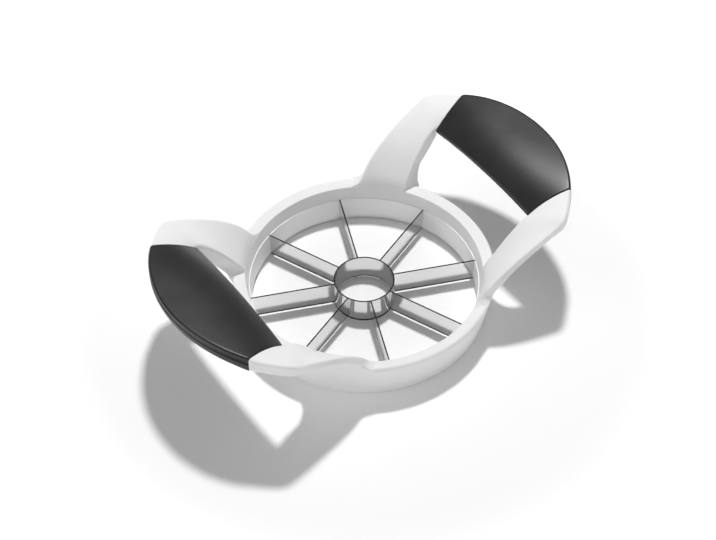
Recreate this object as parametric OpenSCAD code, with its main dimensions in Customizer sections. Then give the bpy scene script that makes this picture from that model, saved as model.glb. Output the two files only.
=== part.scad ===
// Hand press that cores and divides an apple into eight wedges: a moulded ring with two raised
// loop handles, soft grips on the handles, eight radial blades and a tube cutter at the middle.
// Millimetres. +Z is up, the ring stands on z = 0 around the Z axis, and the handles lie along X.

/* [Ring] */
// Radius of the clear opening inside the top of the ring
ring_clear_r = 50.4; // [45:0.2:58]
// Width of the ring's top, from its opening to its outer edge
rim_w = 5.6; // [5:0.1:6.5]
// Height of the ring
ring_h = 19; // [17:0.5:24]
// Distance that the outer wall draws in from the top of the ring to its foot
ring_taper = 3.5; // [2.5:0.25:4]
// Depth of the ring's inner wall, from the top of the ring to the blade holder
rim_depth = 6.7; // [6:0.1:8]
// Distance that the inner wall draws in from the ring's opening down to the blade holder
ring_draw = 1.2; // [0.6:0.1:1.5]
// Thickness of the skirt that goes down round the blade holder
skirt_wall = 2.2; // [1.8:0.1:2.5]
// Drop of the ring's top face from its outer edge to its opening
ring_top_fall = 0.9; // [0.3:0.1:1.5]
// Radius that rounds the outer top edge of the ring
ring_edge_r = 1.2; // [0.4:0.1:1.6]
// Chamfer of the opening's top edge
lip_chamfer = 0.5; // [0.2:0.1:0.8]

/* [Blade holder] */
// Step inwards from the ring's inner wall to the holder's wall
joint_step = 0.3; // [0.1:0.1:0.7]
// Distance that the holder narrows from the ring's opening to its throat, which guides the apple
throat_in = 2; // [1.7:0.1:3]
// Height of the throat above the surface that the ring stands on
throat_h = 2.6; // [1.6:0.1:6]
// Distance that the holder widens again from its throat to its underside
mouth_out = 0.6; // [0.3:0.1:0.9]
// Height of the holder's underside above the surface that the ring stands on
holder_lift = 0.5; // [0.3:0.1:0.7]
// Play round the holder inside the skirt
holder_play = 0.1; // [0.05:0.05:0.2]

/* [Blades] */
// Number of wedges, which is the number of blades
wedges = 8; // [6:1:10]
// Thickness of a blade
blade_t = 0.6; // [0.5:0.1:1.2]
// Height of a blade's cutting edge above the surface that the ring stands on
blade_lift = 0.9; // [0.8:0.1:2.5]
// Height of the sharpened bevel along a blade's lower edge
bevel_h = 1.4; // [0.8:0.1:3]
// Thickness left at a cutting edge
edge_t = 0.2; // [0.1:0.05:0.3]
// Wall of the holder outside a blade's end
blade_end_wall = 0.6; // [0.4:0.1:1]
// Play round a blade in its slot
slot_play = 0.05; // [0.02:0.01:0.15]

/* [Corer] */
// Outer radius of the tube cutter
corer_r = 13.1; // [11:0.1:15]
// Wall of the tube cutter
corer_wall = 0.6; // [0.5:0.1:1.2]
// Height of the cutter's lower edge above the surface that the ring stands on
corer_lift = 0.3; // [0.1:0.1:1.5]
// Height of the bevel inside the cutter's lower edge
corer_bevel_h = 0.8; // [0.4:0.1:2]

/* [Handles] */
// Thickness of a handle's outer side at the shoulder, square to its surface
handle_t = 6; // [5:0.1:6.6]
// Radius that rounds a handle's edges
handle_edge_r = 1.3; // [0.6:0.1:1.6]
// Angle from the X axis at which an arm's inner edge leaves the ring
root_inner_angle = 33; // [29:0.5:37]
// Angle from the X axis at which an arm's outer edge leaves the ring
root_outer_angle = 57.5; // [51:0.5:64]
// Depth of the handle's root below the ring's opening
root_sink = 3.5; // [3:0.1:4]
// Width of the ring's top that shows on each side of an arm's root
root_ledge = 0.3; // [0.2:0.05:0.8]
// Width of an arm at its shoulder, where it turns into the grip
shoulder_w = 15.9; // [13:0.1:19]
// Distance from the grip's inner edge out to the shoulder's turn
shoulder_out = 0.8; // [0:0.1:3]
// Height of an arm's outer edge over its inner edge at the shoulder
shoulder_rise = 3.7; // [2:0.1:6]
// Rise of the crown across a handle at its grip
handle_crown = 1.4; // [0.4:0.1:2.4]

/* [Grips] */
// Distance from the ring's outer edge to a grip's straight inner edge
grip_gap = 5.5; // [3:0.1:10]
// Width of a grip at its middle, seen from above
grip_w = 31.4; // [26:0.1:36]
// Radius of the curved outer edge, seen from above
grip_arc_r = 58; // [50:0.5:70]
// Half length of a grip along its inner edge
grip_inner_half = 32.1; // [28:0.1:36]
// Distance that a grip's end runs outwards from its inner edge to its outer edge
grip_flare = 4.7; // [3:0.1:7]
// Height of the inner edge over the ring at the middle of a grip
grip_rise = 25.3; // [22:0.1:30]
// Height of the outer edge over the inner edge at the middle of a grip
grip_tilt = 8.2; // [5:0.1:12]
// Fall of the inner edge from the middle of a grip to its ends
grip_inner_fall = 2.8; // [1:0.1:4]
// Fall of the outer edge from the middle of a grip to its ends
grip_outer_fall = 2.3; // [1:0.1:4]
// Height that a grip stands above the arms
grip_proud = 0.3; // [0.1:0.1:0.8]
// Height of a grip's outer side
grip_outer_h = 6.9; // [5.5:0.1:7.5]
// Height of its thinner inner side
grip_inner_h = 3; // [2.6:0.1:5]
// Distance that the outer side draws in from its top to its foot
grip_draw = 2.2; // [0.4:0.1:2.4]
// Distance that a grip stands out past the handle's edges
grip_side = 0.2; // [0.1:0.1:0.8]
// Wall of a grip's outer side around the bar that the grip is moulded on
grip_wall = 1.6; // [1.2:0.1:1.8]
// Radius that rounds a grip's edges
grip_edge_r = 1.2; // [0.8:0.1:1.5]
// Radius that rounds the lower inner edge, which the fingers curl round
grip_under_r = 2.6; // [1.5:0.1:3]
// Height of the flat lip between a grip's rounded top edge and the groove along its outer side
groove_lip = 0.2; // [0.1:0.05:0.4]
// Width of that groove
groove_w = 2.2; // [1.4:0.1:2.4]
// Depth of that groove
groove_depth = 0.8; // [0.3:0.1:1]

/* [Hidden] */
$fn = 180;
// Radius of the ring's top edge, and of its outer wall and its skirt's inner face at a height
ring_outer_r = ring_clear_r + rim_w;
function wall_r(z) = ring_outer_r - ring_taper * (1 - z / ring_h);
function rebate_r(z) = wall_r(z) - skirt_wall;
// Height of the ring's top face at its opening, and height and radius of the inner wall's lower end
ring_lip_z = ring_h - ring_top_fall;
joint_h = ring_h - rim_depth;
joint_r = ring_clear_r - ring_draw;
// Radii of the holder's throat and of its mouth below
throat_r = ring_clear_r - throat_in;
mouth_r = throat_r + mouth_out;
// Blades end inside the holder, and their top edges lie just under the joint
blade_top_z = joint_h - slot_play;
blade_h = blade_top_z - blade_lift;
blade_end_r = rebate_r(blade_lift) - holder_play - blade_end_wall - slot_play;
// Angle of a blade from the X axis, with a wedge between the blades on each side of that axis
function blade_angle(i) = (i + 0.5) * 360 / wedges;
// Gap between a blade's end and the corer, filled by the weld
weld_gap = 0.05;
// Height, radius and thickness of a handle's root inside the ring, and the depth of the trough
// across it, which follows the ring's opening
root_z = ring_lip_z - root_sink;
root_r = ring_clear_r + root_ledge;
root_t = wall_r(root_z) - root_ledge - root_r;
root_trough = root_r * (1 - cos((root_outer_angle - root_inner_angle) / 2));
// Places and heights of the grips' edges and of the shoulders
grip_inner_x = ring_outer_r + grip_gap;
grip_outer_x = grip_inner_x + grip_w;
grip_arc_x = grip_outer_x - grip_arc_r;
grip_outer_half = grip_inner_half + grip_flare;
grip_inner_z = ring_h + grip_rise;
grip_outer_z = grip_inner_z + grip_tilt;
// Pulls that bend an arm's inner and outer edges
inner_pulls = [[-0.19, -0.24, 0.25], [0.8, 0.93, 1]];
outer_pulls = [[-0.12, 0.06, 0.11], [0.35, 0.62, 0.75]];
// Share of the inner edge that an arm takes before the shoulder turns round it
inner_share = 0.94;
// Reach of the shoulder's turn beyond the grip's end, as a share of half the grip
shoulder_reach = 0.2;
// Power by which the grip's outer edge falls towards its ends
outer_fall_power = 3.5;
// Power by which an arm's trough turns into its crown, and share of the arm in which its root
// leans from upright into the arm's own direction
crown_power = 0.7;
root_share = 0.25;
// Points across the top and the underside of a section between its corners, and the turn from
// one point of a corner to the next
span_points = 4;
corner_turn = 45;
// Stations along one arm, round one shoulder and along half a grip
arm_steps = 12;
shoulder_steps = 7;
grip_steps = 8;
// Step along the path over which its direction is measured
path_step = 0.01;

function mix(a, b, t) = a + (b - a) * t;
function unit(v) = v / norm(v);
function polar(r, angle, z) = [r * cos(angle), r * sin(angle), z];
function bezier(p, t) = len(p) == 1
    ? p[0]
    : bezier([for (i = [0 : len(p) - 2]) mix(p[i], p[i + 1], t)], t);

// Edges of a grip's top, from its middle at k = 0 to its end at k = 1
function grip_inner_edge(k) = [
    grip_inner_x,
    grip_inner_half * k,
    grip_inner_z - grip_inner_fall * k * k
];
function grip_outer_edge(k) =
    let (a = asin(grip_outer_half / grip_arc_r) * k) [
        grip_arc_x + grip_arc_r * cos(a),
        grip_arc_r * sin(a),
        grip_outer_z - grip_outer_fall * pow(k, outer_fall_power)
    ];

// Ends of an arm's two top edges: their roots in the ring, the seam at the grip and the shoulder
root_inner = polar(root_r, root_inner_angle, root_z);
root_outer = polar(root_r, root_outer_angle, root_z);
seam_inner = grip_inner_edge(1);
seam_outer = grip_outer_edge(1);
shoulder = seam_inner + [shoulder_out, shoulder_w, shoulder_rise];

// An arm's edge is a cubic curve. Its pulls are the places of its two middle control points, as
// shares of the way from the lower end to the upper one along X, Y and Z: the edges leave the
// ring steeply, like the rim of a bowl, and level out above.
function edge_curve(low, high, pulls) = [
    low,
    for (pull = pulls) [for (i = [0 : 2]) mix(low[i], high[i], pull[i])],
    high
];
arm_inner = edge_curve(root_inner, seam_inner, inner_pulls);
arm_outer = edge_curve(root_outer, shoulder, outer_pulls);
// The shoulder's edge runs on from the arm, round the corner and into the grip's arc
shoulder_turn = grip_outer_edge(1 + shoulder_reach);
shoulder_edge = [
    shoulder,
    shoulder + unit(shoulder - arm_outer[2]) * norm(shoulder_turn - seam_outer),
    shoulder_turn,
    seam_outer
];

// Top edges of the handle along its path: 0 to 1 is the arm, 1 to 2 the shoulder and 2 to 3
// half of the grip. The other half mirrors it.
function inner_edge(s) =
    s <= 1 ? bezier(arm_inner, inner_share * s)
    : s <= 2 ? bezier(arm_inner, mix(inner_share, 1, s - 1))
    : grip_inner_edge(3 - s);
function outer_edge(s) =
    s <= 1 ? bezier(arm_outer, s)
    : s <= 2 ? bezier(shoulder_edge, s - 1)
    : grip_outer_edge(3 - s);

// Direction of the path: upright at the root, then measured over a short step of its middle, and
// level from the end of the shoulder on, where the grip starts
function middle(s) = (inner_edge(s) + outer_edge(s)) / 2;
function measured_direction(s) = unit(middle(min(s + path_step, 3)) - middle(max(s - path_step, 0)));
function levelled(v, share) = unit([v[0], v[1], v[2] * (1 - share)]);
function path_direction(s) =
    let (ahead = levelled(measured_direction(s), min(1, max(0, s - 1))))
    s >= 3 ? [0, -1, 0] : unit(mix([0, 0, 1], ahead, min(1, s / root_share)));
// Crown across the handle: a trough at the ring, and a swell from the shoulder on
function crown(s) = mix(-root_trough, handle_crown, pow(min(1, s), crown_power));
function thickness(s) = mix(root_t, handle_t, min(1, s));

// Points round a section, as pairs of the distance from the inner edge and the height over the
// chord: the top from edge to edge, the outer side with any groove, the underside, the inner side.
// All corners have the radius r but the lower inner one.
function corner(x, y, r, from) = [
    for (a = [from : -corner_turn : from - 90]) [x + r * cos(a), y + r * sin(a)]
];
function outline(x0, x1, y0, y1, r, under_r, groove = []) = concat(
    corner(x0 + r, y1 - r, r, 180),
    [for (i = [1 : span_points]) [mix(x0 + r, x1 - r, i / (span_points + 1)), y1]],
    corner(x1 - r, y1 - r, r, 90),
    groove,
    corner(x1 - r, y0 + r, r, 0),
    [for (i = [1 : span_points]) [mix(x1 - r, x0 + under_r, i / (span_points + 1)), y0]],
    corner(x0 + under_r, y0 + under_r, under_r, -90)
);
// Section of the bare handle, of the bar inside a grip, and of the grip
function arm_section(w, t) = outline(0, w, -t, 0, handle_edge_r, handle_edge_r);
bar_inset = grip_wall - grip_side;
bar_top = grip_proud - grip_wall;
bar_bottom = grip_proud + grip_wall - grip_outer_h;
bar_edge_r = (bar_top - bar_bottom) / 4;
function bar_section(w) =
    outline(bar_inset, w - bar_inset, bar_bottom, bar_top, bar_edge_r, bar_edge_r);
grip_bottom = grip_proud - grip_outer_h;
groove_z = grip_proud - grip_edge_r - groove_lip - groove_w / 2;
function groove_points(x) = [
    [x, groove_z + groove_w / 2],
    [x - groove_depth, groove_z],
    [x, groove_z - groove_w / 2]
];
function grip_section(w) = outline(
    -grip_side,
    w + grip_side,
    grip_bottom,
    grip_proud,
    grip_edge_r,
    grip_under_r,
    groove_points(w + grip_side)
);
// Number of a section's last point before the groove, at the end of its second corner, and the
// number that its point j has on a section without the groove
corner_points = 90 / corner_turn + 1;
before_groove = 2 * corner_points + span_points - 1;
function plain_number(j, plain_count) = (
    j <= before_groove ? j : max(before_groove, j - len(groove_points(0)))) % plain_count;

// A point of a section w wide, moved so that the section is thinner towards its inner edge and
// draws in down its outer side. This starts at the root and is complete at the shoulder.
function shaped(s, p, w, top) =
    let (
        k = min(1, s),
        share = min(1, max(0, p[0] / w)),
        depth = (top - p[1]) * mix(mix(1, grip_inner_h / grip_outer_h, k), 1, share)
    )
    [p[0] - k * share * depth * grip_draw / grip_outer_h, top - depth];
// A section's points set in place at station s; top is the height of its top over the edges
function placed(s, section, top) =
    let (
        a = inner_edge(s),
        b = outer_edge(s),
        w = norm(b - a),
        across = (b - a) / w,
        normal = unit(cross(path_direction(s), across))
    )
    [for (q = section)
        let (p = shaped(s, q, w, top), share = p[0] / w)
        a + across * p[0] + normal * (p[1] + crown(s) * 4 * share * (1 - share))];
function width(s) = norm(outer_edge(s) - inner_edge(s));
function arm_ring(s) = placed(s, arm_section(width(s), thickness(s)), 0);
function bar_ring(s) = placed(s, bar_section(width(s)), grip_proud);
function grip_ring(s) = placed(s, grip_section(width(s)), grip_proud);

// Stations of half a handle, and a list of half rings completed by its mirror image in the
// middle plane, whose points keep their order round the section
arm_path = [for (i = [0 : arm_steps]) i / arm_steps];
shoulder_path = [for (i = [1 : shoulder_steps]) 1 + i / shoulder_steps];
grip_path = [for (i = [0 : grip_steps]) 2 + i / grip_steps];
function mirrored(ring) = [for (p = ring) [p[0], -p[1], p[2]]];
function both_halves(rings) = concat(rings, [for (i = [len(rings) - 2 : -1 : 0]) mirrored(rings[i])]);

// Skin between rings of n points each, from the ring that starts at point number start on
function skin(n, count, start, out) = [
    for (i = [0 : count - 2], j = [0 : n - 1])
    let (p = start + i * n + j, q = start + i * n + (j + 1) % n)
    each out
        ? [[p, q, q + n], [p, q + n, p + n]]
        : [[p, q + n, q], [p, p + n, q + n]]
];
// Flat end of a tube, from its grooved outer ring of n points to its plain inner ring of k points
function rim(n, k, outer, inner, out) = [
    for (j = [0 : n - 1])
    let (
        p = outer + j,
        q = outer + (j + 1) % n,
        a = inner + plain_number(j, k),
        b = inner + plain_number(j + 1, k)
    )
    each concat(
        [out ? [p, q, b] : [p, b, q]],
        a == b ? [] : [out ? [p, b, a] : [p, a, b]]
    )
];
// Lofts a solid bar through rings of equal length
module loft(rings) {
    n = len(rings[0]);
    m = len(rings);
    polyhedron(
        points = [for (r = rings) each r],
        faces = concat(
            skin(n, m, 0, true),
            [[for (j = [n - 1 : -1 : 0]) j]],
            [[for (j = [0 : n - 1]) (m - 1) * n + j]]
        )
    );
}
// Lofts a tube, open at both ends, through as many outer as inner rings
module loft_tube(outer_rings, inner_rings) {
    n = len(outer_rings[0]);
    k = len(inner_rings[0]);
    m = len(outer_rings);
    polyhedron(
        points = concat([for (r = outer_rings) each r], [for (r = inner_rings) each r]),
        faces = concat(
            skin(n, m, 0, true),
            skin(k, m, m * n, false),
            rim(n, k, 0, m * n, false),
            rim(n, k, (m - 1) * n, m * n + (m - 1) * k, true)
        )
    );
}

// One whole handle: arm, shoulder, the bar inside the grip, and the same again
module handle() {
    loft(both_halves(concat(
        [for (s = arm_path) arm_ring(s)],
        [for (s = shoulder_path) arm_ring(s)],
        [for (s = grip_path) bar_ring(s)]
    )));
}

// Ring with its skirt and both handles, moulded in one
module frame() {
    color("whitesmoke") union() {
        rotate_extrude() polygon(concat(
            [
                [rebate_r(0), 0],
                [wall_r(0), 0],
                [wall_r(ring_h - ring_edge_r), ring_h - ring_edge_r]
            ],
            [for (a = [30 : 30 : 90]) [
                wall_r(ring_h - ring_edge_r) - ring_edge_r * (1 - cos(a)),
                ring_h - ring_edge_r * (1 - sin(a))
            ]],
            [
                [ring_clear_r + lip_chamfer, ring_lip_z],
                [ring_clear_r, ring_lip_z - lip_chamfer],
                [joint_r, joint_h],
                [rebate_r(joint_h), joint_h]
            ]
        ));
        for (turn = [0, 180]) rotate(turn) handle();
    }
}

// Ring that holds the blades' ends, pushed up into the skirt from below
module blade_holder() {
    color("white") difference() {
        rotate_extrude() polygon([
            [mouth_r, holder_lift],
            [rebate_r(holder_lift) - holder_play, holder_lift],
            [rebate_r(joint_h) - holder_play, joint_h],
            [joint_r - joint_step, joint_h],
            [throat_r, throat_h]
        ]);
        for (i = [0 : wedges - 1]) rotate(blade_angle(i)) translate([
            throat_r / 2,
            -blade_t / 2 - slot_play,
            blade_lift
        ]) cube([
            blade_end_r + slot_play - throat_r / 2,
            blade_t + 2 * slot_play,
            joint_h
        ]);
    }
}

// One blade: a plate whose lower edge is ground from both sides, cut to the corer's curve
module blade(angle) {
    length = blade_end_r - corer_r / 2;
    color("lightgray") rotate(angle) difference() {
        translate([blade_end_r, 0, blade_lift]) rotate([90, 0, -90]) linear_extrude(length) polygon([
            [-edge_t / 2, 0],
            [edge_t / 2, 0],
            [blade_t / 2, bevel_h],
            [blade_t / 2, blade_h],
            [-blade_t / 2, blade_h],
            [-blade_t / 2, bevel_h]
        ]);
        translate([0, 0, blade_lift - bevel_h]) cylinder(
            r = corer_r + weld_gap,
            h = blade_h + 2 * bevel_h
        );
    }
}

// Tube cutter, ground from the inside to a round cutting edge below
module corer() {
    color("silver") rotate_extrude() polygon([
        [corer_r - edge_t, corer_lift],
        [corer_r, corer_lift],
        [corer_r, joint_h],
        [corer_r - corer_wall, joint_h],
        [corer_r - corer_wall, corer_lift + corer_bevel_h]
    ]);
}

// Soft grip moulded round the handle's bar, flush with the arms' end faces
module grip(turn) {
    color("dimgray") rotate(turn) loft_tube(
        both_halves([for (s = grip_path) grip_ring(s)]),
        both_halves([for (s = grip_path) bar_ring(s)])
    );
}

frame();
blade_holder();
corer();
grip(0);  // right_grip
grip(180);  // left_grip
for (i = [1 : wedges]) blade(blade_angle(i - 1));
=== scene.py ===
"""Hand press that cores and divides an apple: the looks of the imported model.

Lengths are in millimetres and become metres when a mesh is made. +Z is up, the ring stands on
z = 0 around the Z axis, and the handles lie along X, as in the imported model.
"""
import math

import bmesh
import bpy
import numpy as np
from mathutils import Matrix


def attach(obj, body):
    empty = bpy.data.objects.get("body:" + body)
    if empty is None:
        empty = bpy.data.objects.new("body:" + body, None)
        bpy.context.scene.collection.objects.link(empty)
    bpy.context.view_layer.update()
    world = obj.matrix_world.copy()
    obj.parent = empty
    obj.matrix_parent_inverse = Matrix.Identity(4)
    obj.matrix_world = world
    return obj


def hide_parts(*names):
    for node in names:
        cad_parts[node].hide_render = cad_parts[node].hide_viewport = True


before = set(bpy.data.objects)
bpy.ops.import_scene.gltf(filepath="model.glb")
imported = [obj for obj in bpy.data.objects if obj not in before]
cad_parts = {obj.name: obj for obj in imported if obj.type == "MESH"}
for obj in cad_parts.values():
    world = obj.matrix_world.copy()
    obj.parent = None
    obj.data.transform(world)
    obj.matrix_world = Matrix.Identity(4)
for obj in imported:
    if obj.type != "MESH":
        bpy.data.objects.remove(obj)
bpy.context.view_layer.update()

MM = 0.001

# ---------------------------------------------------------------- driving sizes, in millimetres
# Ring
CLEAR_R = 50.4
RIM_W = 5.6
RING_H = 19.0
RING_TAPER = 3.5
RIM_DEPTH = 6.7
RING_DRAW = 1.2
SKIRT_WALL = 2.2
TOP_FALL = 0.9
RING_EDGE_R = 1.2
LIP_R = 0.5
FOOT_R = 0.3
# Blades and tube cutter
BLADE_LIFT = 0.9
BEVEL_H = 1.4
CORER_R = 13.1
CORER_WALL = 0.6
CORER_LIFT = 0.3
CORER_BEVEL_H = 0.8
CUTTING_EDGE = 0.2
# Handles
HANDLE_T = 6.1
HANDLE_EDGE_R = 1.3
ROOT_INNER_ANGLE = 32.65
ROOT_OUTER_ANGLE = 57.5
ROOT_SINK = 3.5
SHOULDER_W = 16.55
SHOULDER_OUT = 3.6
SHOULDER_RISE = 4.95
HANDLE_CROWN = 1.4
ROOT_INNER_FILLET_R = 0.6
ROOT_OUTER_FILLET_R = 4.0
ROOT_SPLAY = 5.8
# Grips
GRIP_GAP = 5.5
GRIP_W = 31.39
GRIP_ARC_R = 58.0
GRIP_INNER_HALF = 32.1
GRIP_FLARE = 4.7
GRIP_RISE = 25.3
GRIP_TILT = 8.2
GRIP_INNER_FALL = 2.8
GRIP_OUTER_FALL = 2.3
GRIP_PROUD = 0.29
GRIP_OUTER_H = 6.9
GRIP_INNER_H = 3.0
GRIP_DRAW = 2.2
GRIP_SIDE = 0.2
GRIP_WALL = 1.6
GRIP_EDGE_R = 1.2
GRIP_UNDER_R = 2.6
GRIP_END_R = 0.7
GROOVE_LIP = 0.2
GROOVE_W = 2.2
GROOVE_DEPTH = 0.8

# ------------------------------------------------------------------------------ worked out sizes
OUTER_R = CLEAR_R + RIM_W
LIP_Z = RING_H - TOP_FALL
JOINT_H = RING_H - RIM_DEPTH
JOINT_R = CLEAR_R - RING_DRAW
RIM_TOP_W = OUTER_R - RING_TAPER * (1 - LIP_Z / RING_H) - CLEAR_R
# The handles' roots stand this much proud of the ring's walls, so that one skin covers the other,
# and a grip's bore this much off its bar
FLUSH = 0.015
BAR_TOP = GRIP_PROUD - GRIP_WALL
BAR_T = GRIP_OUTER_H - 2 * GRIP_WALL

# ------------------------------------------------------------------ shape of the arms and grips
# An arm's root hugs the ring's walls up to the first height, and is free of them from the second
HUG_FULL_Z = RING_H - 5.0
HUG_END_Z = RING_H + 8.0
# The arm's edges start this far out from the clear opening, and its outline's two sides spread in
# the root's fillet by a power that leaves the middle alone
ROOT_OUT = 0.3
SPREAD_POWER = 8
# Share of the arm over which its path turns from upright to its own direction
ROOT_SHARE = 0.25
CROWN_POWER = 0.7
# Share of the inner edge's curve that the arm takes up to the shoulder
INNER_SHARE = 0.94
# How far past the seam the grip's arc is followed to find the shoulder's turn, and how far the
# shoulder's curve is drawn out along the arm and towards that turn
SHOULDER_REACH = 0.2
SHOULDER_PULL = 0.64
SHOULDER_TURN_PULL = 0.87
# Share of the thinning towards the inner edge that comes in along the arm, and its power
ARM_WEDGE = 0.15
WEDGE_POWER = 1.5
# How much deeper the inner edge is halfway up the arm
ARM_LEAN = 0.43
GRIP_SWELL = 1.0
OUTER_FALL_POWER = 3.5
# The inner and outer edges' middle control points, each as shares of the way along the three axes
INNER_PULLS = np.array([[-0.525, -0.335, -0.364], [0.697, 1.075, 1.16]])
OUTER_PULLS = np.array([[0.025, 0.356, 0.622], [0.967, 1.023, 0.968]])
PATH_STEP = 0.05

# ------------------------------------------------------------------------- fineness of the meshes
TURN_STEPS = 360
ARM_STATIONS = 96
ARM_PASSES = 10
BAR_STATIONS = 24
GRIP_STATIONS = 72
# The grip's stations crowd towards its seam by this power
GRIP_CROWDING = 1.4
SHARP_ANGLE = 32
TUBE_SHARP_ANGLE = 12


def wall_r(z):
    """Radius of the ring's outer wall, which draws in evenly from its top to its foot."""
    return OUTER_R - RING_TAPER * (1 - z / RING_H)


def rebate_r(z):
    """Radius of the skirt's inner face."""
    return wall_r(z) - SKIRT_WALL


def smooth(low, high, x):
    """0 below low, 1 above high, and 3t^2 - 2t^3 between."""
    t = np.clip((x - low) / (high - low), 0, 1)
    return t * t * (3 - 2 * t)


# ------------------------------------------------------------------------------------ mesh making
def grid_faces(rows, columns, ring=True, loop=False):
    """Quads of a grid of points. ring joins the last column to the first, loop the last row."""
    i = np.arange(rows if loop else rows - 1)[:, None]
    j = np.arange(columns if ring else columns - 1)[None, :]
    below = i * columns
    above = (i + 1) % rows * columns
    right = (j + 1) % columns
    return np.stack([below + j, below + right, above + right, above + j], -1).reshape(-1, 4)


def capped(grid):
    """A tube of rows with its ends closed: each end gets one more row, drawn in to its middle."""
    first = np.broadcast_to(grid[:1].mean(1, keepdims=True), grid[:1].shape)
    last = np.broadcast_to(grid[-1:].mean(1, keepdims=True), grid[-1:].shape)
    return np.concatenate([first, grid, last])


def turned(points, degrees):
    """Points turned about the Z axis."""
    a = math.radians(degrees)
    turn = np.array([[math.cos(a), math.sin(a), 0], [-math.sin(a), math.cos(a), 0], [0, 0, 1]])
    return points @ turn


def make_piece(name, shells, sharp_angle=SHARP_ANGLE):
    """One object from shells, which are pairs of points in millimetres and of quads. Doubled points
    are merged, which closes the poles, the faces are turned outwards, and edges sharper than
    sharp_angle stay crisp."""
    points = np.concatenate([p.reshape(-1, 3) for p, _ in shells]) * MM
    starts = np.cumsum([0] + [p.reshape(-1, 3).shape[0] for p, _ in shells[:-1]])
    quads = np.concatenate([q + start for (_, q), start in zip(shells, starts)])
    mesh = bpy.data.meshes.new(name)
    mesh.vertices.add(len(points))
    mesh.vertices.foreach_set("co", points.astype(np.float32).ravel())
    mesh.loops.add(quads.size)
    mesh.loops.foreach_set("vertex_index", quads.astype(np.int32).ravel())
    mesh.polygons.add(len(quads))
    mesh.polygons.foreach_set("loop_start", np.arange(0, quads.size, 4, dtype=np.int32))
    mesh.update(calc_edges=True)
    shape = bmesh.new()
    shape.from_mesh(mesh)
    bmesh.ops.remove_doubles(shape, verts=shape.verts, dist=1e-7)
    bmesh.ops.recalc_face_normals(shape, faces=shape.faces)
    shape.to_mesh(mesh)
    shape.free()
    mesh.polygons.foreach_set("use_smooth", np.ones(len(mesh.polygons), bool))
    mesh.set_sharp_from_angle(angle=math.radians(sharp_angle))
    piece = bpy.data.objects.new(name, mesh)
    bpy.context.scene.collection.objects.link(piece)
    return piece


def arc(centre, radius, start, end, steps):
    """Points on a circle from one angle to another, in degrees."""
    a = np.radians(np.linspace(start, end, steps + 1))
    return np.stack([centre[0] + radius * np.cos(a), centre[1] + radius * np.sin(a)], -1)


def line(start, end, steps):
    """Points evenly along a straight line, without its ends."""
    t = np.arange(1, steps)[:, None] / steps
    return np.array(start) * (1 - t) + np.array(end) * t


def revolve(profile):
    """A closed profile of radius and height carried once round the Z axis."""
    a = np.radians(np.arange(TURN_STEPS) * 360 / TURN_STEPS)[:, None]
    radius = profile[None, :, 0]
    height = np.broadcast_to(profile[None, :, 1], (TURN_STEPS, len(profile)))
    points = np.stack([radius * np.cos(a), radius * np.sin(a), height], -1)
    return points, grid_faces(TURN_STEPS, len(profile), loop=True)


# ------------------------------------------------------------------------- path of the handles
def bezier(points, t):
    """Cubic curve through the first and last of four points, drawn towards the two between."""
    t = t[:, None]
    shares = [(1 - t) ** 3, 3 * t * (1 - t) ** 2, 3 * t * t * (1 - t), t ** 3]
    return sum(share * point for share, point in zip(shares, points))


def grip_inner_edge(k):
    """Straight inner edge of a grip's top: k is 0 at its middle, 1 at its end; it falls as k^2."""
    return np.stack([
        np.full_like(k, OUTER_R + GRIP_GAP),
        GRIP_INNER_HALF * k,
        RING_H + GRIP_RISE - GRIP_INNER_FALL * k * k,
    ], -1)


def grip_outer_edge(k):
    """Outer edge of a grip's top: an arc seen from above, which falls by a power of k."""
    outer_x = OUTER_R + GRIP_GAP + GRIP_W
    a = math.asin((GRIP_INNER_HALF + GRIP_FLARE) / GRIP_ARC_R) * k
    return np.stack([
        outer_x - GRIP_ARC_R + GRIP_ARC_R * np.cos(a),
        GRIP_ARC_R * np.sin(a),
        RING_H + GRIP_RISE + GRIP_TILT - GRIP_OUTER_FALL * k ** OUTER_FALL_POWER,
    ], -1)


def unit(v):
    """Vectors of length 1."""
    return v / np.linalg.norm(v, axis=-1, keepdims=True)


def polar(radius, degrees, height):
    """A point at a radius, an angle from the X axis and a height."""
    a = math.radians(degrees)
    return np.array([radius * math.cos(a), radius * math.sin(a), height])


def edge_curve(low, high, pulls):
    """Control points of an arm's edge; the middle two are shares of the way along each axis."""
    return [low, low + (high - low) * pulls[0], low + (high - low) * pulls[1], high]


ONE = np.ones(1)
ROOT_R = CLEAR_R + ROOT_OUT
SEAM_INNER = grip_inner_edge(ONE)[0]
SEAM_OUTER = grip_outer_edge(ONE)[0]
SHOULDER = SEAM_INNER + np.array([SHOULDER_OUT, SHOULDER_W, SHOULDER_RISE])
ARM_INNER = edge_curve(polar(ROOT_R, ROOT_INNER_ANGLE, LIP_Z - ROOT_SINK), SEAM_INNER, INNER_PULLS)
ARM_OUTER = edge_curve(polar(ROOT_R, ROOT_OUTER_ANGLE, LIP_Z - ROOT_SINK), SHOULDER, OUTER_PULLS)
SHOULDER_TURN = grip_outer_edge(ONE * (1 + SHOULDER_REACH))[0]
SHOULDER_OUTWARD = unit(SHOULDER - ARM_OUTER[2])
SHOULDER_EDGE = [
    SHOULDER,
    SHOULDER + SHOULDER_OUTWARD * SHOULDER_PULL * np.linalg.norm(SHOULDER_TURN - SEAM_OUTER),
    SEAM_OUTER + (SHOULDER_TURN - SEAM_OUTER) * SHOULDER_TURN_PULL,
    SEAM_OUTER,
]
ROOT_TROUGH = ROOT_R * (1 - math.cos(math.radians(ROOT_OUTER_ANGLE - ROOT_INNER_ANGLE) / 2))


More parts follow.
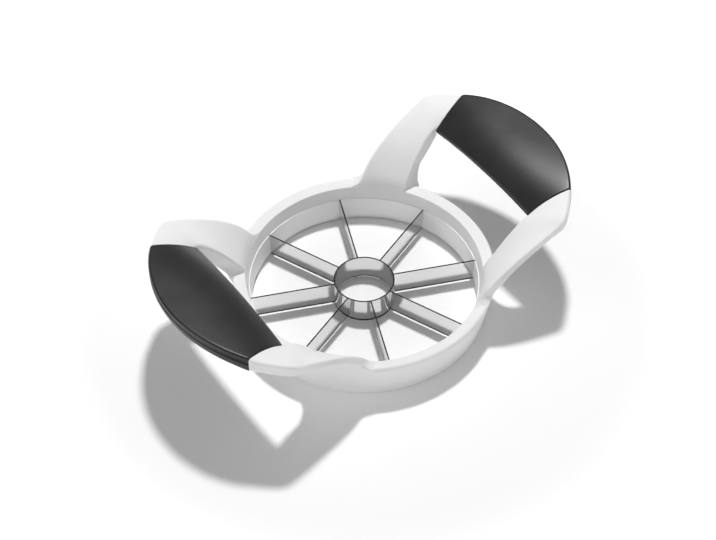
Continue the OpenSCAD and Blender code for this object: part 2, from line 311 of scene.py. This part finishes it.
def inner_edge(s):
    """Inner edge of a handle's top: 0 to 2 is the arm's curve, 2 to 3 half of the grip."""
    share = np.where(s <= 1, INNER_SHARE * s, INNER_SHARE + (1 - INNER_SHARE) * (s - 1))
    arm = bezier(ARM_INNER, np.minimum(share, 1))
    return np.where((s <= 2)[:, None], arm, grip_inner_edge(3 - s))


def outer_edge(s):
    """Outer edge: 0 to 1 is the arm, 1 to 2 the turn of the shoulder, 2 to 3 half of the grip."""
    arm = bezier(ARM_OUTER, np.minimum(s, 1))
    turn = bezier(SHOULDER_EDGE, np.clip(s - 1, 0, 1))
    loop = grip_outer_edge(3 - s)
    return np.where((s <= 1)[:, None], arm, np.where((s <= 2)[:, None], turn, loop))


def path_direction(s):
    """Direction of the edges' middle line: upright at the root, level from the end of the shoulder
    on and along Y at the grip's middle."""
    ahead = np.minimum(s + PATH_STEP, 3)
    behind = np.maximum(s - PATH_STEP, 0)
    middle = (inner_edge(ahead) + outer_edge(ahead) - inner_edge(behind) - outer_edge(behind)) / 2
    level = np.clip(s - 1, 0, 1)[:, None] * np.array([0, 0, 1])
    lean = np.minimum(1, s / ROOT_SHARE)[:, None]
    along = unit(middle * (1 - level)) * lean + np.array([0, 0, 1]) * (1 - lean)
    return np.where((s >= 3)[:, None], np.array([0.0, -1.0, 0.0]), unit(along))


def section_shape(corner=6, across=22, side=16):
    """Outline of a rounded bar as four rows: share of its width, share of its depth, and the place
    on a corner's unit circle. It runs over the top, down the outer side and back underneath."""
    def corner_arc(t, v, start):
        a = np.radians(start - np.linspace(0, 90, corner + 1))
        return np.stack([np.full_like(a, t), np.full_like(a, v), np.cos(a), np.sin(a)])

    def straight(start, end, x, y, steps):
        k = np.arange(1, steps) / steps
        t = start[0] + (end[0] - start[0]) * k
        v = start[1] + (end[1] - start[1]) * k
        return np.stack([t, v, np.full_like(k, x), np.full_like(k, y)])

    return np.concatenate([
        corner_arc(0, 0, 180),
        straight((0, 0), (1, 0), 0, 1, across),
        corner_arc(1, 0, 90),
        straight((1, 0), (1, 1), 1, 0, side),
        corner_arc(1, 1, 0),
        straight((1, 1), (0, 1), 0, -1, across),
        corner_arc(0, 1, -90),
        straight((0, 1), (0, 0), -1, 0, side),
    ], axis=1)


def handle_rows(s, shape, side, top, thick, radius, under=0.0, groove=0.0):
    """Sections of a handle at stations s. side is how far the outline stands out past the edges,
    top how far over them, thick its depth and radius that of its corners, to which under is added
    at the lower inner one. The section is thinner towards the inner edge, a little along the arm
    and in full from the shoulder to the grip, and draws in down the outer side. Halfway up the
    arm, it's deeper along the inner edge and shallower along the outer one. The crown lifts the
    middle of the section as a parabola, and hollows it at the ring, where it is a trough. The
    grip swells on top by x (1 - x)^2 of its width, whose peak at a third is 4/27."""
    t, v, cx, cy = shape
    radius = radius + under * (1 - t) * v
    a = inner_edge(s)
    b = outer_edge(s)
    width = np.linalg.norm(b - a, axis=1)[:, None]
    across = unit(b - a)
    normal = unit(np.cross(path_direction(s), across))
    x = t * width + (2 * t - 1) * (side - radius) + radius * cx
    y = top - v * thick + (2 * v - 1) * radius + radius * cy
    depth = -y
    if groove:
        middle = GRIP_EDGE_R + GROOVE_LIP + GROOVE_W / 2 - GRIP_PROUD
        dip = np.clip(1 - np.abs(depth - middle) / (GROOVE_W / 2), 0, 1)
        x = x - groove * np.sqrt(dip) * (cx > 0.99) * (t > 0.99)
    k = np.minimum(1, s)[:, None]
    share = np.clip(x / width, 0, 1)
    wedge = ARM_WEDGE * k ** WEDGE_POWER + (1 - ARM_WEDGE) * smooth(1, 2, s)[:, None]
    depth = (top - y) * (1 - wedge * (1 - share) * (1 - GRIP_INNER_H / GRIP_OUTER_H))
    depth = depth * (1 + ARM_LEAN * 4 * k * (1 - k) * (1 - 2 * share))
    x = x - k * share * depth * GRIP_DRAW / GRIP_OUTER_H
    swell = GRIP_SWELL * (1 - np.clip(3 - s, 0, 1) ** 2)[:, None]
    crown = -ROOT_TROUGH + (HANDLE_CROWN + ROOT_TROUGH) * k ** CROWN_POWER
    share = x / width
    y = top - depth + crown * 4 * share * (1 - share) + swell * 27 / 4 * share * (1 - share) ** 2
    return a[:, None] + across[:, None] * x[..., None] + normal[:, None] * y[..., None]


def softened(rows, passes):
    """Each row but the first and last becomes the weighted mean of itself and its neighbours."""
    for _ in range(passes):
        rows = rows.copy()
        rows[1:-1] = (rows[:-2] + 2 * rows[1:-1] + rows[2:]) / 4
    return rows


def hugging(rows, shape):
    """An arm's root flows out of the ring: below HUG_FULL_Z its faces lie on the ring's inner and
    outer walls, and up to HUG_END_Z they ease into the free arm. Its inner side splays towards the
    ring's outer wall, and both sides spread in a fillet where they stand on the ring's top."""
    t, v = shape[:2]
    x, y, z = np.moveaxis(rows, -1, 0)
    radius = np.hypot(x, y)
    angle = np.arctan2(y, x)
    inner = JOINT_R + RING_DRAW * (z - JOINT_H) / (LIP_Z - LIP_R - JOINT_H) - FLUSH
    outer = wall_r(np.minimum(z, RING_H)) + FLUSH
    hold = 1 - smooth(HUG_FULL_Z, HUG_END_Z, z)
    radius = radius + hold * (inner + (outer - inner) * v - radius)
    top_z = LIP_Z + TOP_FALL * (radius - CLEAR_R) / RIM_W
    fillet = np.where(t > 0.5, ROOT_OUTER_FILLET_R, ROOT_INNER_FILLET_R)
    height = np.clip(z - top_z, 0, fillet)
    spread = fillet - np.sqrt(fillet ** 2 - (fillet - height) ** 2)
    outward = np.sign(2 * t - 1) * np.abs(2 * t - 1) ** SPREAD_POWER
    angle = angle + outward * spread / radius - hold * math.radians(ROOT_SPLAY) * (1 - t) * v
    return np.stack([radius * np.cos(angle), radius * np.sin(angle), z], -1)


def both_halves(rows):
    """Half a handle completed by its mirror image in the middle plane."""
    mirror = rows[-2::-1] * np.array([1, -1, 1])
    return np.concatenate([rows, mirror])


# --------------------------------------------------------------------------------------- pieces
def ring_profile():
    """Section of the ring: foot, outer wall, rounded edge, falling top, lip, rim wall, rebate."""
    edge_r = wall_r(RING_H - RING_EDGE_R) - RING_EDGE_R
    return np.concatenate([
        arc((rebate_r(0) + FOOT_R, FOOT_R), FOOT_R, 180, 270, 3),
        line((rebate_r(0) + FOOT_R, 0), (wall_r(0) - FOOT_R, 0), 2),
        arc((wall_r(0) - FOOT_R, FOOT_R), FOOT_R, 270, 360, 3),
        line((wall_r(FOOT_R), FOOT_R), (wall_r(RING_H - RING_EDGE_R), RING_H - RING_EDGE_R), 12),
        arc((edge_r, RING_H - RING_EDGE_R), RING_EDGE_R, 0, 90, 8),
        line((edge_r, RING_H), (CLEAR_R + LIP_R, LIP_Z), 4),
        arc((CLEAR_R + LIP_R, LIP_Z - LIP_R), LIP_R, 90, 180, 5),
        line((CLEAR_R, LIP_Z - LIP_R), (JOINT_R, JOINT_H), 6),
        [(JOINT_R, JOINT_H), (rebate_r(JOINT_H), JOINT_H)],
        line((rebate_r(JOINT_H), JOINT_H), (rebate_r(0), FOOT_R), 6),
    ])


def bar_rows(shape, play=0.0):
    """Sections of half a handle's bar, or of the bore round it when it has play."""
    s = np.linspace(2, 3, BAR_STATIONS)
    side = GRIP_SIDE - GRIP_WALL + play
    return handle_rows(s, shape, side, BAR_TOP + play, BAR_T + 2 * play, BAR_T / 4 + play)


def ring_and_handles():
    """The white moulding: the ring, and on each side a handle whose bar runs through its grip."""
    shape = section_shape()
    s = np.linspace(0, 2, ARM_STATIONS)
    thick = RIM_TOP_W + (HANDLE_T - RIM_TOP_W) * smooth(0, 1, s)
    arm = handle_rows(s, shape, 0.0, 0.0, thick[:, None], HANDLE_EDGE_R)
    arm = hugging(softened(arm, ARM_PASSES), shape)
    rows = capped(both_halves(np.concatenate([arm, bar_rows(shape)])))
    faces = grid_faces(*rows.shape[:2])
    handles = [(turned(rows, turn), faces) for turn in (0, 180)]
    return make_piece("ring_with_handles", [revolve(ring_profile())] + handles)


def soft_grip(name, turn):
    """A grip with a bore for the bar, rounded ends and a groove along its outer side. Its rows run
    along the outside from seam to seam and back through the bore, and close on themselves."""
    shape = section_shape(corner=8, across=28, side=40)
    run = np.linspace(0, 1, GRIP_STATIONS)
    s = 2 + run ** GRIP_CROWDING
    reach = np.linalg.norm(inner_edge(s) - SEAM_INNER, axis=1)
    left = np.clip(GRIP_END_R - reach, 0, GRIP_END_R)
    inset = (GRIP_END_R - np.sqrt(GRIP_END_R ** 2 - left ** 2))[:, None]
    half = handle_rows(
        s, shape, GRIP_SIDE - inset, GRIP_PROUD - inset, GRIP_OUTER_H - 2 * inset,
        GRIP_EDGE_R - inset / 2, GRIP_UNDER_R - GRIP_EDGE_R, GROOVE_DEPTH,
    )
    bore = both_halves(bar_rows(shape, FLUSH))[::-1]
    rows = np.concatenate([both_halves(half), bore])
    return make_piece(name, [(turned(rows, turn), grid_faces(*rows.shape[:2], loop=True))])


def tube_cutter():
    """Rolled tube, ground from inside to a round edge below."""
    inner_r = CORER_R - CORER_WALL
    rim_r = CUTTING_EDGE / 2
    profile = np.concatenate([
        [(CORER_R - CUTTING_EDGE, CORER_LIFT), (CORER_R, CORER_LIFT)],
        line((CORER_R, CORER_LIFT), (CORER_R, JOINT_H - rim_r), 10),
        arc((CORER_R - rim_r, JOINT_H - rim_r), rim_r, 0, 90, 3),
        arc((inner_r + rim_r, JOINT_H - rim_r), rim_r, 90, 180, 3),
        line((inner_r, JOINT_H - rim_r), (inner_r, CORER_LIFT + CORER_BEVEL_H), 8),
        [(inner_r, CORER_LIFT + CORER_BEVEL_H)],
    ])
    return make_piece("tube_cutter", [revolve(profile)], sharp_angle=TUBE_SHARP_ANGLE)


# ------------------------------------------------------------------------------------ materials
# Where the steel's looks change, in millimetres: the blades' ground band from the bevel's top, the
# dark lower edges from the pieces' undersides, which are painted reflections of their own shadows,
# and the dark rims from their tops, which are painted dark reflections
BEVEL_BAND = (-0.15, 0.1)
BLADE_SHADOW_REFLECTION_BAND = (0.7, 1.0)
TUBE_SHADOW_REFLECTION_BAND = (0.9, 1.2)
RIM_DARK_REFLECTION_BAND = (-0.2, -0.1)


class Value:
    """A number on its way through a material: arithmetic on it adds Math nodes."""

    def __init__(self, finish, socket):
        self.finish = finish
        self.socket = socket

    def __add__(self, other):
        return self.finish.math("ADD", self, other)

    def __sub__(self, other):
        return self.finish.math("SUBTRACT", self, other)

    def __mul__(self, other):
        return self.finish.math("MULTIPLY", self, other)

    def __truediv__(self, other):
        return self.finish.math("DIVIDE", self, other)

    def __pow__(self, other):
        return self.finish.math("POWER", self, other)

    def __rsub__(self, other):
        return self.finish.math("SUBTRACT", other, self)

    def __rtruediv__(self, other):
        return self.finish.math("DIVIDE", other, self)

    __radd__ = __add__
    __rmul__ = __mul__


class Finish:
    """A material under construction, or the world's nodes."""

    def __init__(self, tree):
        self.tree = tree

    def node(self, kind, settings=None, sockets=None, output=0):
        """Adds a node, sets it up, fills its sockets with values or links, and gives an output."""
        node = self.tree.nodes.new(kind)
        for key, value in (settings or {}).items():
            setattr(node, key, value)
        for key, value in (sockets or {}).items():
            self.fill(node.inputs[key], value)
        return Value(self, node.outputs[output])

    def fill(self, socket, value):
        """Links a value of the material to a socket, or sets a plain number, colour or vector."""
        if isinstance(value, Value):
            self.tree.links.new(value.socket, socket)
        else:
            socket.default_value = value

    def math(self, operation, *values):
        return self.node("ShaderNodeMath", {"operation": operation}, dict(enumerate(values)))

    def place(self):
        """Object coordinates, in metres."""
        return self.node("ShaderNodeTexCoord", output="Object")

    def parts(self, vector):
        """The three parts of a vector, in millimetres."""
        split = self.tree.nodes.new("ShaderNodeSeparateXYZ")
        self.fill(split.inputs[0], vector)
        return [Value(self, part) / MM for part in split.outputs]

    def vector(self, x, y, z):
        return self.node("ShaderNodeCombineXYZ", sockets={0: x, 1: y, 2: z})

    def noise(self, vector, size, detail):
        """Noise from 0 to 1 whose blotches are about size across, in the vector's own unit."""
        sockets = {"Vector": vector, "Scale": 1 / size, "Detail": detail, "Roughness": 0.5}
        return self.node("ShaderNodeTexNoise", sockets=sockets)

    def step(self, value, band, start=0.0):
        """0 before a band measured from start, and 1 past it, with a smooth rise between."""
        sockets = {"Value": value, "From Min": start + band[0], "From Max": start + band[1]}
        return self.node("ShaderNodeMapRange", {"interpolation_type": "SMOOTHSTEP"}, sockets)

    def blend(self, share, first, second):
        """First colour where share is 0, second where it is 1."""
        return self.node("ShaderNodeMix", {"data_type": "RGBA"}, {0: share, 6: first, 7: second}, 2)

    def bump(self, height, distance):
        """Normal of a surface raised by height times distance, in millimetres."""
        return self.node("ShaderNodeBump", sockets={"Height": height, "Distance": distance * MM})


def new_finish(name, **constants):
    """A named material whose main shader has these constants on its own sockets."""
    material = bpy.data.materials.new(name)
    material.use_nodes = True
    finish = Finish(material.node_tree)
    finish.material = material
    finish.shader = material.node_tree.nodes["Principled BSDF"]
    for key, value in constants.items():
        finish.shader.inputs[key.replace("_", " ")].default_value = value
    return finish


def feed(finish, **inputs):
    """Links what varies over the surface to the main shader."""
    for key, value in inputs.items():
        finish.fill(finish.shader.inputs[key.replace("_", " ")], value)
    return finish.material


def grey(value, warmth=0.0):
    """A grey, a little warmer or cooler."""
    return (value * (1 + warmth), value, value * (1 - warmth), 1.0)


def white_moulding(name, light, shade):
    """Satin white plastic: a faint mottle in colour and gloss, and the fine skin of the mould."""
    finish = new_finish(name, IOR=1.48)
    place = finish.place()
    mottle = finish.noise(place, 9 * MM, detail=3.0)
    skin = finish.noise(place, 0.35 * MM, detail=2.0)
    swirl = finish.noise(place, 28 * MM, detail=1.0)
    return feed(
        finish,
        Base_Color=finish.blend(mottle, light, shade),
        Roughness=0.56 + 0.1 * mottle + 0.05 * swirl,
        Normal=finish.bump(skin + 2 * swirl, 0.004),
    )


def soft_rubber(name):
    """Soft-touch charcoal rubber: a fine grain, with patches rubbed a little smoother."""
    finish = new_finish(name, IOR=1.46)
    place = finish.place()
    grain = finish.noise(place, 0.5 * MM, detail=2.0)
    patches = finish.noise(place, 11 * MM, detail=3.0)
    return feed(
        finish,
        Base_Color=finish.blend(patches, grey(0.012), grey(0.019)),
        Roughness=0.27 + 0.14 * patches + 0.04 * grain,
        Normal=finish.bump(grain, 0.008),
    )


def blade_steel(name):
    """Polished stainless strip: fine lines along its length, and a ground edge below, darker partly
    as a painted reflection of the blade's own shadow. A painted dark line at its foot carries the
    rest of that reflection, and a painted dark reflection runs along its top edge. Distances are
    worked out from the Z axis, so one finish serves all."""
    finish = new_finish(name, Metallic=1.0)
    x, y, z = finish.parts(finish.place())
    reach = (x ** 2 + y ** 2) ** 0.5
    brushed = finish.noise(finish.vector(reach / 14, z / 0.12, 0.0), 1.0, detail=3.0)
    ground = finish.noise(finish.vector(reach / 0.15, z / 3, 0.0), 1.0, detail=2.0)
    bevel = 1 - finish.step(z, BEVEL_BAND, BLADE_LIFT + BEVEL_H)
    # rim: painted dark reflection along the blade's top edge
    rim = finish.step(z, RIM_DARK_REFLECTION_BAND, JOINT_H)
    # edge: painted reflection of the blade's own shadow, a dark line along its foot
    edge = 1 - finish.step(z, BLADE_SHADOW_REFLECTION_BAND, BLADE_LIFT)
    face = finish.blend(brushed, grey(0.76), grey(0.69))
    # The ground band's greys are darker than the face's: partly its ground finish, partly a painted
    # reflection of the blade's shadow
    worked = finish.blend(bevel, face, finish.blend(ground, grey(0.6), grey(0.5)))
    return feed(
        finish,
        Base_Color=finish.blend(rim, finish.blend(edge, worked, grey(0.05)), grey(0.12)),
        Roughness=0.08 + 0.06 * brushed + 0.12 * bevel,
        Normal=finish.bump(brushed * (1 - bevel) + ground * bevel, 0.002),
    )


def tube_steel(name):
    """Polished stainless tube: fine drawn lines round it, a painted dark reflection along its top
    rim, and a painted reflection of its own shadow as a dark band along its foot.
    """
    finish = new_finish(name, Metallic=1.0)
    x, y, z = finish.parts(finish.place())
    drawn = finish.noise(finish.vector(x / 9, y / 9, z / 0.1), 1.0, detail=3.0)
    # rim: painted dark reflection along the tube's top
    rim = finish.step(z, RIM_DARK_REFLECTION_BAND, JOINT_H)
    # edge: painted reflection of the tube's own shadow, a dark band along its foot
    edge = 1 - finish.step(z, TUBE_SHADOW_REFLECTION_BAND, CORER_LIFT)
    face = finish.blend(drawn, grey(0.76), grey(0.69))
    return feed(
        finish,
        Base_Color=finish.blend(rim, finish.blend(edge, face, grey(0.06)), grey(0.12)),
        Roughness=0.05 + 0.05 * drawn + 0.1 * edge,
        Normal=finish.bump(drawn, 0.001),
    )


# ------------------------------------------------------------------------------------ the object
def dressed():
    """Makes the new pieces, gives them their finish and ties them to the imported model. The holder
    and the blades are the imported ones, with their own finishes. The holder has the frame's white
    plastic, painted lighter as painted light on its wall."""
    white = white_moulding("satin_white_moulding", grey(0.865), grey(0.84, 0.004))
    # Painted light: the holder's white is lighter than the frame's to brighten its wall
    lightened_holder_white = white_moulding("holder_white_painted_lighter", grey(0.96), grey(0.935, 0.004))
    rubber = soft_rubber("charcoal_soft_rubber")
    blade_finish = blade_steel("ground_stainless_strip")
    tube_finish = tube_steel("polished_stainless_tube")
    new_pieces = [
        (ring_and_handles(), "frame", "white_plastic", white),
        (tube_cutter(), "corer", "polished_steel", tube_finish),
        (soft_grip("soft_grip_right", 0), "right_grip", "soft_grip", rubber),
        (soft_grip("soft_grip_left", 180), "left_grip", "soft_grip", rubber),
    ]
    for piece, node, slot, finish in new_pieces:
        piece.data.materials.append(finish)
        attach(piece, "root")
        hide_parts(node)
    for name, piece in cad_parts.items():
        if name.startswith("blade_"):
            piece.data.materials.clear()
            piece.data.materials.append(lightened_holder_white if name == "blade_holder" else blade_finish)


# ------------------------------------------------------------------------------------- the stage
# Camera: its turn from the Y axis, its height angle and its roll, in degrees, where it stands in
# millimetres, and its focal length, to which SENSOR_W is the image's width
CAMERA_TURN = -34.865
CAMERA_HEIGHT = 47.261
CAMERA_ROLL = -0.413
CAMERA_PLACE = (-270.5, -383.75, 526.07)
CAMERA_LENS = 81.8
SENSOR_W = 36
# Lamps: the key stands high behind the object and three fills stand low before it. Their places in
# millimetres, their widths in metres and their powers in watts; the sky's level, and the floor's
# glow near the object
KEY_PLACE = (313, 353, 1232)
KEY_WIDTH = 0.12
KEY_POWER = 12.0
FILL_PLACES = ((-1380, 350, 300), (-900, -1150, 300), (600, -1350, 300))
FILL_POWERS = (6.0, 3.2, 2.0)
FILL_WIDTH = 1.2
SKY_LEVEL = 0.25
FLOOR_GLOW = 0.01
# The floor turns white for the camera and mirrors between these distances from the Z axis, in
# millimetres. Half its side is in metres
FLOOR_FADE = (112, 230)
FLOOR_HALF = 3.0


def add_camera():
    """Camera at the photograph's place, which looks along its turn and height angles."""
    turn = math.radians(CAMERA_TURN)
    height = math.radians(CAMERA_HEIGHT)
    back = np.array([
        math.sin(turn) * math.cos(height),
        -math.cos(turn) * math.cos(height),
        math.sin(height),
    ])
    right = unit(np.cross(-back, [0, 0, 1]))
    up = np.cross(right, -back)
    roll = math.radians(CAMERA_ROLL)
    axes = np.stack([
        math.cos(roll) * right + math.sin(roll) * up,
        math.cos(roll) * up - math.sin(roll) * right,
        back,
    ], axis=1)
    data = bpy.data.cameras.new("camera")
    data.sensor_width = SENSOR_W
    data.lens = CAMERA_LENS
    data.clip_start = 0.01
    camera = bpy.data.objects.new("camera", data)
    matrix = Matrix(axes.tolist()).to_4x4()
    matrix.translation = [value * MM for value in CAMERA_PLACE]
    camera.matrix_world = matrix
    bpy.context.scene.collection.objects.link(camera)
    bpy.context.scene.camera = camera


def add_lamp(name, place, width, power):
    """A round soft lamp that looks at the object."""
    data = bpy.data.lights.new(name, "AREA")
    data.shape = "DISK"
    data.size = width
    data.energy = power
    lamp = bpy.data.objects.new(name, data)
    back = unit(np.array(place, float))
    side = unit(np.cross([0, 1, 0], back))
    matrix = Matrix(np.stack([side, np.cross(back, side), back], 1).tolist()).to_4x4()
    matrix.translation = [value * MM for value in place]
    lamp.matrix_world = matrix
    bpy.context.scene.collection.objects.link(lamp)


def shown_rays(nodes, mirrors):
    """1 for what the camera sees, and mirrors if wanted, 0 for the light that falls on things."""
    rays = nodes.tree.nodes.new("ShaderNodeLightPath")
    camera = Value(nodes, rays.outputs["Is Camera Ray"])
    mirror = Value(nodes, rays.outputs["Is Glossy Ray"])
    return nodes.math("MINIMUM", camera + mirror * mirrors, 1.0)


def add_sky():
    """Even pale surroundings, white for the camera."""
    world = bpy.data.worlds.new("sky")
    world.use_nodes = True
    bpy.context.scene.world = world
    sky = Finish(world.node_tree)
    background = sky.tree.nodes["Background"]
    background.inputs["Color"].default_value = (1, 1, 1, 1)
    sky.fill(background.inputs["Strength"], SKY_LEVEL + (1 - SKY_LEVEL) * shown_rays(sky, 0.0))


def add_floor():
    """Plain white floor that keeps the object's shadow. For the camera and in mirrors it glows a
    little, and more away from the object, so that it is white there."""
    corners = [(x * FLOOR_HALF, y * FLOOR_HALF, 0) for x, y in ((-1, -1), (1, -1), (1, 1), (-1, 1))]
    mesh = bpy.data.meshes.new("floor")
    mesh.from_pydata(corners, [], [(0, 1, 2, 3)])
    floor = bpy.data.objects.new("floor", mesh)
    bpy.context.scene.collection.objects.link(floor)
    constants = {"Roughness": 0.9, "Specular_IOR_Level": 0.0, "Base_Color": grey(0.985)}
    finish = new_finish("white_table", **constants)
    x, y, _ = finish.parts(finish.place())
    fade = finish.step((x ** 2 + y ** 2) ** 0.5, FLOOR_FADE)
    finish.shader.inputs["Emission Color"].default_value = grey(1.0)
    glow = (FLOOR_GLOW + (1 - FLOOR_GLOW) * fade) * shown_rays(finish, 1.0)
    finish.fill(finish.shader.inputs["Emission Strength"], glow)
    mesh.materials.append(finish.material)


dressed()
add_camera()
add_lamp("key", KEY_PLACE, KEY_WIDTH, KEY_POWER)
for number, (place, power) in enumerate(zip(FILL_PLACES, FILL_POWERS), 1):
    add_lamp(f"fill_{number}", place, FILL_WIDTH, power)
add_sky()
add_floor()
bpy.context.scene.view_settings.view_transform = "Standard"
